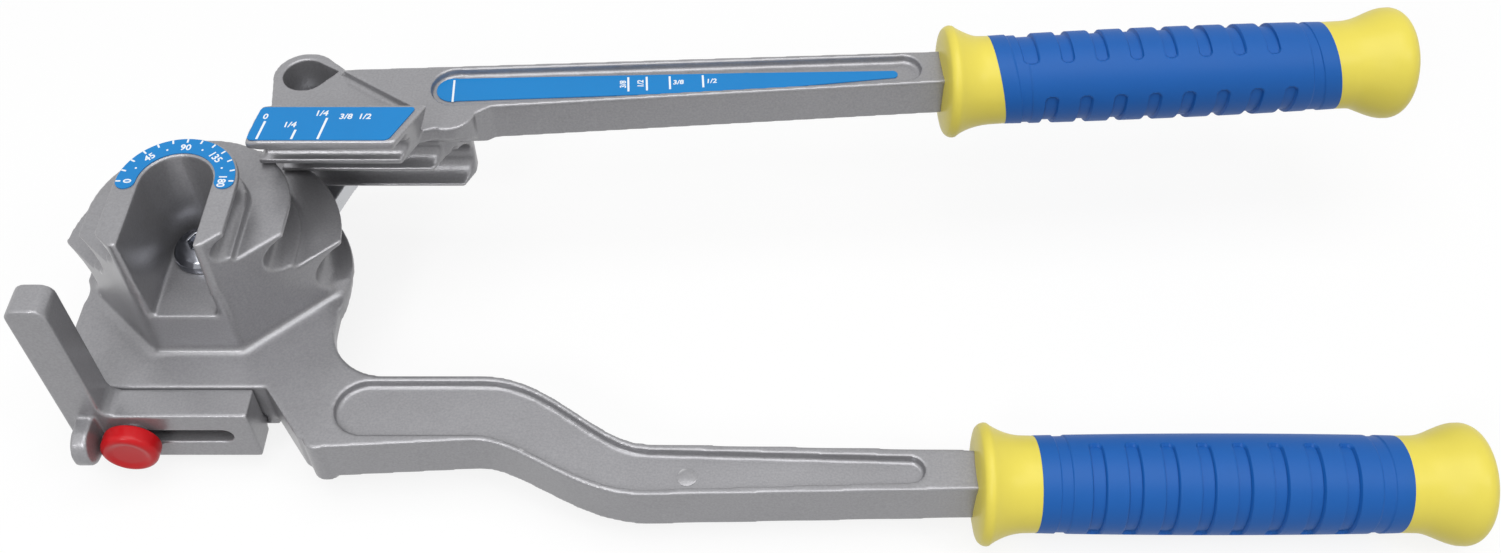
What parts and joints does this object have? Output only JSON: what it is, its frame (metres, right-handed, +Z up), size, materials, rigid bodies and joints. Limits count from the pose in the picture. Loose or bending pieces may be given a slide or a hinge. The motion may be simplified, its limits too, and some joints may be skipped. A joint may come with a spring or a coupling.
{
  "type": "tube bender",
  "caption": "Lever tube bender: stepped grooved die on the lower handle, stepped shoe on a linked upper handle, sliding hook with clamp knob, two-colour grips.",
  "frame": {"origin": "on the bend axis, in the plane that the lower grip's underside touches", "axes": "+X along the lower handle to its grip, +Y away from the hook towards the shoe, +Z up along the bend axis"},
  "size_m": [0.3363, 0.1337, 0.0645],
  "materials": {
    "cast_metal": "satin cast, grey",
    "steel": "zinc plated",
    "bush_bronze": "sintered bronze",
    "grip_core": "yellow, moulded",
    "grip_sleeve": "blue, soft",
    "label": "blue film with plain marks",
    "knob": "red, moulded",
    "nylon": "natural"
  },
  "bodies": {
    "lower_handle": {"form_handle": "cast_metal", "pivot_bolt": "steel", "thrust_washer": "steel", "lower_washer": "steel", "pivot_nut": "steel", "nut_insert": "nylon", "degree_scale": "label", "lower_grip_core": "grip_core", "lower_grip_sleeve": "grip_sleeve"},
    "link": {"swing_link": "steel", "link_bush": "bush_bronze", "handle_pin": "steel", "handle_washer": "steel", "pin_washer": "steel", "pin_ring": "steel"},
    "upper_handle": {"shoe_handle": "cast_metal", "handle_bush": "bush_bronze", "shoe_label": "label", "arm_scale": "label", "upper_grip_core": "grip_core", "upper_grip_sleeve": "grip_sleeve"},
    "hook": {"hook": "cast_metal"},
    "clamp_knob": {"clamp_knob": "knob", "clamp_screw": "steel", "clamp_washer": "steel"}
  },
  "joints": [
    {"name": "link_swing", "type": "hinge", "parent": "lower_handle", "child": "link", "pos_m": [0, 0, 0], "axis": [0, 0, 1], "range_deg": [-90, 90]},
    {"name": "handle_pivot", "type": "hinge", "parent": "link", "child": "upper_handle", "pos_m": [0.01966, 0.04521, 0], "axis": [0, 0, 1], "range_deg": [-12, 120]},
    {"name": "hook_slide", "type": "slide", "parent": "lower_handle", "child": "hook", "axis": [-1, 0, 0], "range_m": [0, 0.0215]},
    {"name": "knob_turn", "type": "hinge", "parent": "lower_handle", "child": "clamp_knob", "pos_m": [-0.0135, -0.042, 0.0143], "axis": [0, -1, 0], "range_deg": [0, 360]}
  ]
}
